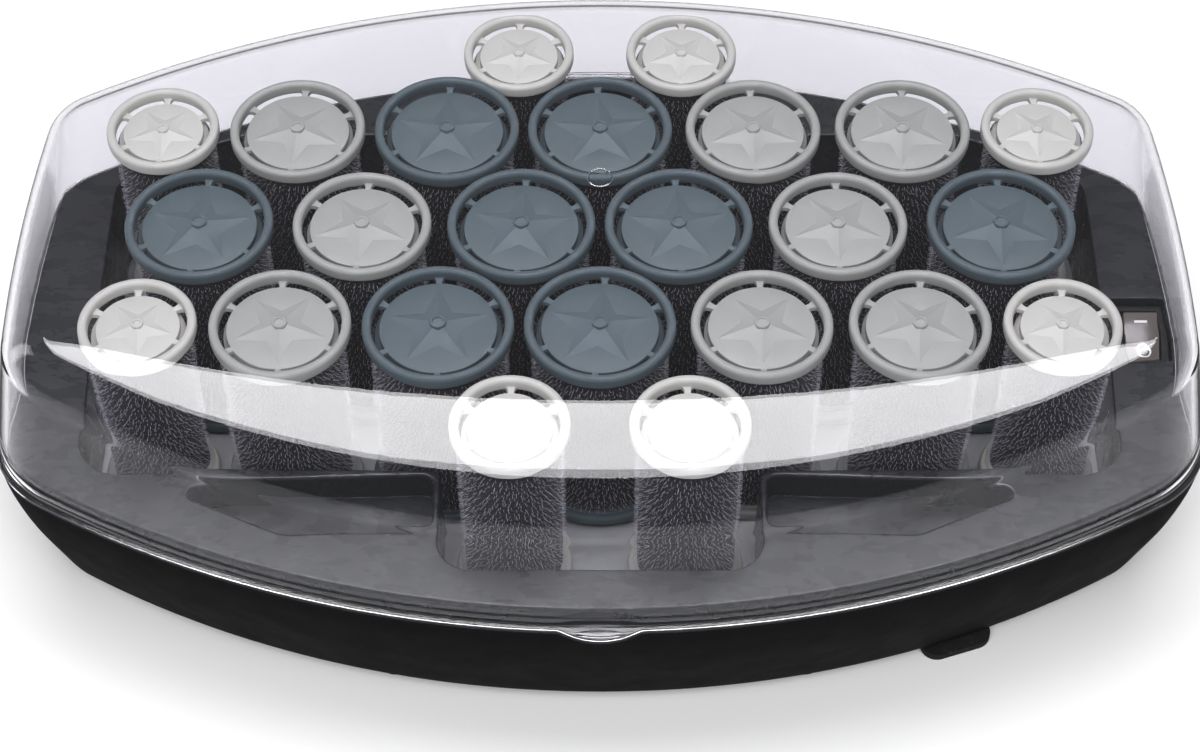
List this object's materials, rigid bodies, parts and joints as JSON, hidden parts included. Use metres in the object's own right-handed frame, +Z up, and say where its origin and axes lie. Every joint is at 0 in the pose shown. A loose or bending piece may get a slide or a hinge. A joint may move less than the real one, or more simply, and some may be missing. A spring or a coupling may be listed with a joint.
{
  "type": "heated hair roller set",
  "caption": "Heated base with velvet-covered hair rollers of three sizes standing on heated posts under a hinged clear lid, with a rocker switch beside them.",
  "frame": {"origin": "on the table, under the middle of the whole object's footprint", "axes": "+X to the right as seen from the front, +Y towards the hinge at the back, +Z up"},
  "size_m": [0.324, 0.2087, 0.0985],
  "materials": {
    "black_plastic": "fine satin texture",
    "tray_plastic": "satin",
    "clear_plastic": "polished, clear",
    "steel": "drawn",
    "aluminium": "as cast",
    "rubber": "matt",
    "rocker_plastic": "gloss, smoky",
    "velvet": "hooked velvet pile",
    "slate_plastic": "satin",
    "grey_plastic": "satin",
    "pale_plastic": "satin"
  },
  "bodies": {
    "base": {"lower_housing": "black_plastic", "tray": "tray_plastic", "heater_plate": "aluminium", "heating_element": "steel", "hinge_pin": "steel", "switch_body": "black_plastic", "foot_front_left": "rubber", "foot_front_right": "rubber", "foot_rear_left": "rubber", "foot_rear_right": "rubber"},
    "lid": {"lid": "clear_plastic"},
    "rocker": {"switch_rocker": "rocker_plastic"},
    "small_roller_1": {"small_roller_1_barrel": "pale_plastic", "small_roller_1_sleeve": "velvet"},
    "small_roller_2": {"small_roller_2_barrel": "pale_plastic", "small_roller_2_sleeve": "velvet"},
    "small_roller_3": {"small_roller_3_barrel": "pale_plastic", "small_roller_3_sleeve": "velvet"},
    "medium_roller_1": {"medium_roller_1_barrel": "grey_plastic", "medium_roller_1_sleeve": "velvet"},
    "large_roller_1": {"large_roller_1_barrel": "slate_plastic", "large_roller_1_sleeve": "velvet"},
    "large_roller_2": {"large_roller_2_barrel": "slate_plastic", "large_roller_2_sleeve": "velvet"},
    "medium_roller_2": {"medium_roller_2_barrel": "grey_plastic", "medium_roller_2_sleeve": "velvet"},
    "medium_roller_3": {"medium_roller_3_barrel": "grey_plastic", "medium_roller_3_sleeve": "velvet"},
    "small_roller_4": {"small_roller_4_barrel": "pale_plastic", "small_roller_4_sleeve": "velvet"},
    "large_roller_3": {"large_roller_3_barrel": "slate_plastic", "large_roller_3_sleeve": "velvet"},
    "medium_roller_4": {"medium_roller_4_barrel": "grey_plastic", "medium_roller_4_sleeve": "velvet"},
    "large_roller_4": {"large_roller_4_barrel": "slate_plastic", "large_roller_4_sleeve": "velvet"},
    "large_roller_5": {"large_roller_5_barrel": "slate_plastic", "large_roller_5_sleeve": "velvet"},
    "medium_roller_5": {"medium_roller_5_barrel": "grey_plastic", "medium_roller_5_sleeve": "velvet"},
    "large_roller_6": {"large_roller_6_barrel": "slate_plastic", "large_roller_6_sleeve": "velvet"},
    "small_roller_5": {"small_roller_5_barrel": "pale_plastic", "small_roller_5_sleeve": "velvet"},
    "medium_roller_6": {"medium_roller_6_barrel": "grey_plastic", "medium_roller_6_sleeve": "velvet"},
    "large_roller_7": {"large_roller_7_barrel": "slate_plastic", "large_roller_7_sleeve": "velvet"},
    "large_roller_8": {"large_roller_8_barrel": "slate_plastic", "large_roller_8_sleeve": "velvet"},
    "medium_roller_7": {"medium_roller_7_barrel": "grey_plastic", "medium_roller_7_sleeve": "velvet"},
    "medium_roller_8": {"medium_roller_8_barrel": "grey_plastic", "medium_roller_8_sleeve": "velvet"},
    "small_roller_6": {"small_roller_6_barrel": "pale_plastic", "small_roller_6_sleeve": "velvet"},
    "small_roller_7": {"small_roller_7_barrel": "pale_plastic", "small_roller_7_sleeve": "velvet"},
    "small_roller_8": {"small_roller_8_barrel": "pale_plastic", "small_roller_8_sleeve": "velvet"}
  },
  "joints": [
    {"name": "lid_hinge", "type": "hinge", "parent": "base", "child": "lid", "pos_m": [0, 0.1012, 0.046], "axis": [-1, 0, 0], "range_deg": [0, 100]},
    {"name": "switch_rock", "type": "hinge", "parent": "base", "child": "rocker", "pos_m": [0.148, -0.0045, 0.049], "axis": [-1, 0, 0], "range_deg": [0, 22]},
    {"name": "small_roller_1_lift", "type": "slide", "parent": "base", "child": "small_roller_1", "axis": [0, 0, 1], "range_m": [0, 0.001]},
    {"name": "small_roller_2_lift", "type": "slide", "parent": "base", "child": "small_roller_2", "axis": [0, 0, 1], "range_m": [0, 0.001]},
    {"name": "small_roller_3_lift", "type": "slide", "parent": "base", "child": "small_roller_3", "axis": [0, 0, 1], "range_m": [0, 0.004]},
    {"name": "medium_roller_1_lift", "type": "slide", "parent": "base", "child": "medium_roller_1", "axis": [0, 0, 1], "range_m": [0, 0.005]},
    {"name": "large_roller_1_lift", "type": "slide", "parent": "base", "child": "large_roller_1", "axis": [0, 0, 1], "range_m": [0, 0.005]},
    {"name": "large_roller_2_lift", "type": "slide", "parent": "base", "child": "large_roller_2", "axis": [0, 0, 1], "range_m": [0, 0.005]},
    {"name": "medium_roller_2_lift", "type": "slide", "parent": "base", "child": "medium_roller_2", "axis": [0, 0, 1], "range_m": [0, 0.005]},
    {"name": "medium_roller_3_lift", "type": "slide", "parent": "base", "child": "medium_roller_3", "axis": [0, 0, 1], "range_m": [0, 0.005]},
    {"name": "small_roller_4_lift", "type": "slide", "parent": "base", "child": "small_roller_4", "axis": [0, 0, 1], "range_m": [0, 0.004]},
    {"name": "large_roller_3_lift", "type": "slide", "parent": "base", "child": "large_roller_3", "axis": [0, 0, 1], "range_m": [0, 0.005]},
    {"name": "medium_roller_4_lift", "type": "slide", "parent": "base", "child": "medium_roller_4", "axis": [0, 0, 1], "range_m": [0, 0.005]},
    {"name": "large_roller_4_lift", "type": "slide", "parent": "base", "child": "large_roller_4", "axis": [0, 0, 1], "range_m": [0, 0.005]},
    {"name": "large_roller_5_lift", "type": "slide", "parent": "base", "child": "large_roller_5", "axis": [0, 0, 1], "range_m": [0, 0.005]},
    {"name": "medium_roller_5_lift", "type": "slide", "parent": "base", "child": "medium_roller_5", "axis": [0, 0, 1], "range_m": [0, 0.005]},
    {"name": "large_roller_6_lift", "type": "slide", "parent": "base", "child": "large_roller_6", "axis": [0, 0, 1], "range_m": [0, 0.005]},
    {"name": "small_roller_5_lift", "type": "slide", "parent": "base", "child": "small_roller_5", "axis": [0, 0, 1], "range_m": [0, 0.005]},
    {"name": "medium_roller_6_lift", "type": "slide", "parent": "base", "child": "medium_roller_6", "axis": [0, 0, 1], "range_m": [0, 0.005]},
    {"name": "large_roller_7_lift", "type": "slide", "parent": "base", "child": "large_roller_7", "axis": [0, 0, 1], "range_m": [0, 0.005]},
    {"name": "large_roller_8_lift", "type": "slide", "parent": "base", "child": "large_roller_8", "axis": [0, 0, 1], "range_m": [0, 0.005]},
    {"name": "medium_roller_7_lift", "type": "slide", "parent": "base", "child": "medium_roller_7", "axis": [0, 0, 1], "range_m": [0, 0.005]},
    {"name": "medium_roller_8_lift", "type": "slide", "parent": "base", "child": "medium_roller_8", "axis": [0, 0, 1], "range_m": [0, 0.005]},
    {"name": "small_roller_6_lift", "type": "slide", "parent": "base", "child": "small_roller_6", "axis": [0, 0, 1], "range_m": [0, 0.005]},
    {"name": "small_roller_7_lift", "type": "slide", "parent": "base", "child": "small_roller_7", "axis": [0, 0, 1], "range_m": [0, 0.002]},
    {"name": "small_roller_8_lift", "type": "slide", "parent": "base", "child": "small_roller_8", "axis": [0, 0, 1], "range_m": [0, 0.002]}
  ]
}
